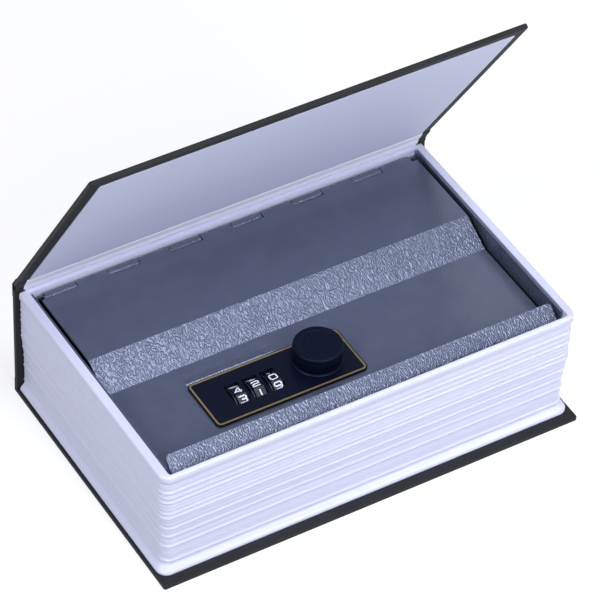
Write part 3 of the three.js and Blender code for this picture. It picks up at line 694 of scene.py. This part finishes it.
lining_back = behind(lining_points, lining_thickness)
turn_in_back = behind(lining_points, 2 * lining_thickness)
turn_in = strip_piece(
    "fold_turn_in", half_book, turn_in_back, lining_back, cloth_paper, fold_end_inset,
)
# the fold liner takes the liner paper painted whiter: painted light for the bright band along the
# fold
fold_liner = strip_piece(
    "fold_liner", half_lining, lining_back, lining_points, fold_paper_painted_lit, fold_end_inset,
)
for piece, slot in ((turn_in, "cover_cloth"), (fold_liner, "liner_paper")):
    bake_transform(piece)

# Foot of the spine: the cloth runs from the edge of the back cover up the spine.
foot_low = 0.3 * mm
foot_middle = 4 * mm
foot_rise = 7 * mm
foot_hinge = 2 * mm
foot_bend = 0.4 * mm
foot_outer = [
    (fold_y + proud, z)
    for z in (foot_low, foot_hinge - foot_bend, foot_hinge + foot_bend, foot_middle, foot_rise)
]
foot_inner = [(y - cloth_thickness, z) for y, z in foot_outer]
foot_wrap = strip_piece("foot_wrap", half_book, foot_outer, foot_inner, cloth_paper, fold_end_inset)
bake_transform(foot_wrap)

# Stage: a seamless white table top under four soft lamps: above, in front, at the left, and low at
# the right. The camera and mirror-like surfaces see the top and the surroundings brighter than they
# light the book.
floor_size = 3
floor_drop = 0.05 * mm
floor_light = 0.7


def seen_rays(owner):
    """One where a ray comes from the camera, off a glossy surface or through glass, else zero."""
    rays = add_node(owner, "ShaderNodeLightPath", {}, {}).outputs
    seen = rays["Is Camera Ray"]
    for ray in ("Is Glossy Ray", "Is Transmission Ray"):
        seen = add_node(
            owner, "ShaderNodeMath", {"operation": "MAXIMUM"}, {0: seen, 1: rays[ray]},
        ).outputs["Value"]
    return seen


floor_white, floor_shader = start_material("white_table_top", "A6A6A6", 0.8)
floor_strength = add_node(
    floor_white, "ShaderNodeMath",
    {"operation": "MULTIPLY", 1: floor_light}, {0: seen_rays(floor_white)},
).outputs["Value"]
floor_glow = add_node(
    floor_white, "ShaderNodeEmission",
    {"Color": linear("FFFFFF")}, {"Strength": floor_strength},
).outputs["Emission"]
floor_sum = add_node(
    floor_white, "ShaderNodeAddShader", {}, {0: floor_shader.outputs["BSDF"], 1: floor_glow},
).outputs["Shader"]
floor_output = floor_white.node_tree.nodes["Material Output"]
floor_white.node_tree.links.new(floor_sum, floor_output.inputs["Surface"])
half_floor = floor_size / 2
floor = new_piece(
    "table_top",
    [(-half_floor, -half_floor, -floor_drop), (half_floor, -half_floor, -floor_drop),
     (half_floor, half_floor, -floor_drop), (-half_floor, half_floor, -floor_drop)],
    [(0, 1, 2, 3)], floor_white,
)

world_fill = 0.14
world_seen = 1.0
world = bpy.data.worlds.new("studio")
world.use_nodes = True
world_light = world.node_tree.nodes["Background"]
world_light.inputs["Color"].default_value = linear("EDF1FF")
world_strength = add_node(
    world, "ShaderNodeMapRange",
    {"To Min": world_fill, "To Max": world_seen}, {"Value": seen_rays(world)},
).outputs["Result"]
world.node_tree.links.new(world_strength, world_light.inputs["Strength"])
bpy.context.scene.world = world

# each lamp: its direction from the book, its distance and size in metres, and its power in watts
target = Vector((0, 0, 0.04))
lamp_colour = linear("F6F8FF")[:3]
for name, way, distance, size, power in (
    ("top_softbox", (0.14, -0.24, 0.96), 1.0, 0.4, 3.6),
    ("front_softbox", (0.0, -0.79, 0.61), 1.1, 0.5, 6.4),
    ("left_softbox", (-0.82, -0.22, 0.62), 1.2, 0.45, 6.8),
    ("right_softbox", (0.6, -0.77, 0.1), 0.7, 0.3, 1.5),
):
    lamp_data = bpy.data.lights.new(name, "AREA")
    lamp_data.size = size
    lamp_data.energy = power
    lamp_data.color = lamp_colour
    lamp = bpy.data.objects.new(name, lamp_data)
    offset = Vector(way).normalized()
    lamp.location = target + offset * distance
    lamp.rotation_euler = (-offset).to_track_quat("-Z", "Y").to_euler()
    bpy.context.scene.collection.objects.link(lamp)

bpy.context.scene.view_settings.view_transform = "Standard"
